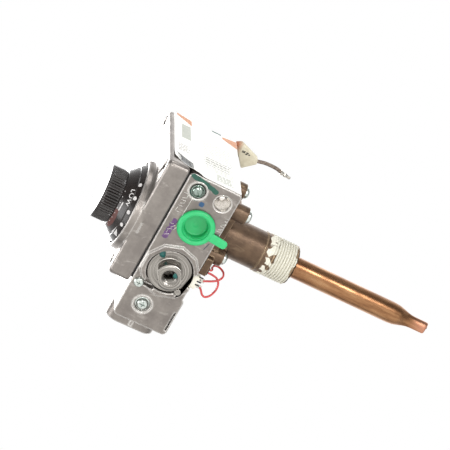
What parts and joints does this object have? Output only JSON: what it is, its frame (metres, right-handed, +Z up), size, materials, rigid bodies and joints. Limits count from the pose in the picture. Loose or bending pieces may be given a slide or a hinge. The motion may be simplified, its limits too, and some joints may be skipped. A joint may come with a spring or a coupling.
{
  "type": "water heater gas valve",
  "caption": "Water-heater thermostatic gas valve: die-cast body with dial, gas cock, reset button, threaded shank and copper immersion tube.",
  "frame": {"origin": "on the axis of the threaded shank, at mid-length of its tank thread", "axes": "+Y along the shank towards the tank, +Z up with the valve fitted, +X right as seen from the front dial"},
  "size_m": [0.1201, 0.2315, 0.1119],
  "materials": {
    "cast_aluminium": "as die-cast, satin",
    "rubber": "matt",
    "zinc_plate": "zinc plated, machined",
    "spring_steel": "bright drawn",
    "bronze": "dark cast bronze",
    "copper": "drawn copper",
    "brass": "machined",
    "valve_rubber": "nitrile facing on a steel disc",
    "black_plastic": "moulded",
    "red_plastic": "moulded",
    "green_plastic": "moulded polythene",
    "nylon": "natural nylon",
    "red_pvc": "extruded",
    "paper_label": "printed film",
    "brown_pvc": "extruded"
  },
  "bodies": {
    "valve": {"valve_body": "cast_aluminium", "front_cover": "cast_aluminium", "cover_gasket": "rubber", "cover_screws": "zinc_plate", "dial_spring": "spring_steel", "mounting_shank": "bronze", "shank_gasket": "rubber", "flange_screws": "zinc_plate", "immersion_tube": "copper", "expansion_rod": "spring_steel", "thermostat_lever": "spring_steel", "snap_disc": "spring_steel", "snap_disc_ring": "brass", "main_valve_seat": "brass", "main_valve_spring": "spring_steel", "spring_bridge": "spring_steel", "power_unit_housing": "zinc_plate", "unit_pin": "zinc_plate", "magnet_core": "spring_steel", "magnet_coil": "copper", "safety_valve_spring": "spring_steel", "reset_spring": "spring_steel", "cock_spring": "spring_steel", "regulator_seat": "brass", "regulator_diaphragm": "rubber", "regulator_ring": "cast_aluminium", "regulator_spring": "spring_steel", "regulator_cap": "zinc_plate", "pilot_filter": "brass", "inlet_screen": "spring_steel", "arm_screw": "zinc_plate", "body_screw": "zinc_plate", "eco_switch": "brass", "terminal_block": "nylon", "eco_terminals": "spring_steel", "red_wire_a": "red_pvc", "red_wire_b": "red_pvc", "wire_grommet": "rubber", "rating_label": "paper_label", "lead_gland": "rubber", "lead_wire": "brown_pvc", "lead_tag": "paper_label", "lead_terminal": "spring_steel"},
    "dial": {"temperature_dial": "black_plastic", "dial_shaft": "brass", "dial_clip": "spring_steel"},
    "cock": {"cock_plug": "brass", "gas_knob": "black_plastic", "knob_clip": "spring_steel"},
    "reset": {"reset_button": "red_plastic", "reset_rod": "spring_steel"},
    "safety_poppet": {"safety_valve": "valve_rubber"},
    "main_poppet": {"main_valve": "valve_rubber"},
    "regulator_poppet": {"regulator_valve": "brass"},
    "pilot_needle": {"pilot_adjust_screw": "zinc_plate"},
    "shipping_plug": {"outlet_plug": "green_plastic"}
  },
  "joints": [
    {"name": "dial_turn", "type": "hinge", "parent": "valve", "child": "dial", "pos_m": [-0.008, -0.1, 0], "axis": [0, -1, 0], "range_deg": [-60, 210]},
    {"name": "gas_cock_turn", "type": "hinge", "parent": "valve", "child": "cock", "pos_m": [0, -0.061, 0.058], "axis": [0, 0, -1], "range_deg": [0, 180]},
    {"name": "reset_press", "type": "slide", "parent": "valve", "child": "reset", "axis": [0, 0, -1], "range_m": [0, 0.005], "stiffness_N_per_m": 700, "springref_m": -0.004, "deforming": ["reset_spring"]},
    {"name": "safety_valve_lift", "type": "slide", "parent": "valve", "child": "safety_poppet", "axis": [0, 0, -1], "range_m": [0, 0.004], "stiffness_N_per_m": 300, "springref_m": -0.004, "deforming": ["safety_valve_spring"]},
    {"name": "main_valve_lift", "type": "slide", "parent": "valve", "child": "main_poppet", "axis": [0, -1, 0], "range_m": [0, 0.0015], "stiffness_N_per_m": 400, "springref_m": -0.003, "deforming": ["main_valve_spring"]},
    {"name": "regulator_valve_lift", "type": "slide", "parent": "valve", "child": "regulator_poppet", "axis": [0, 0, 1], "range_m": [-0.0008, 0.0006], "stiffness_N_per_m": 200, "deforming": ["regulator_spring", "regulator_diaphragm"]},
    {"name": "pilot_screw_turn", "type": "hinge", "parent": "valve", "child": "pilot_needle", "pos_m": [0.03, -0.0707, -0.029], "axis": [0, 0, -1], "range_deg": [-180, 360]},
    {"name": "outlet_plug_pull", "type": "slide", "parent": "valve", "child": "shipping_plug", "axis": [0, 0, -1], "range_m": [0, 0.025]}
  ],
  "couplings": [
    {"joint": "safety_valve_lift", "follows": "reset_press", "ratio": 0.8}
  ]
}
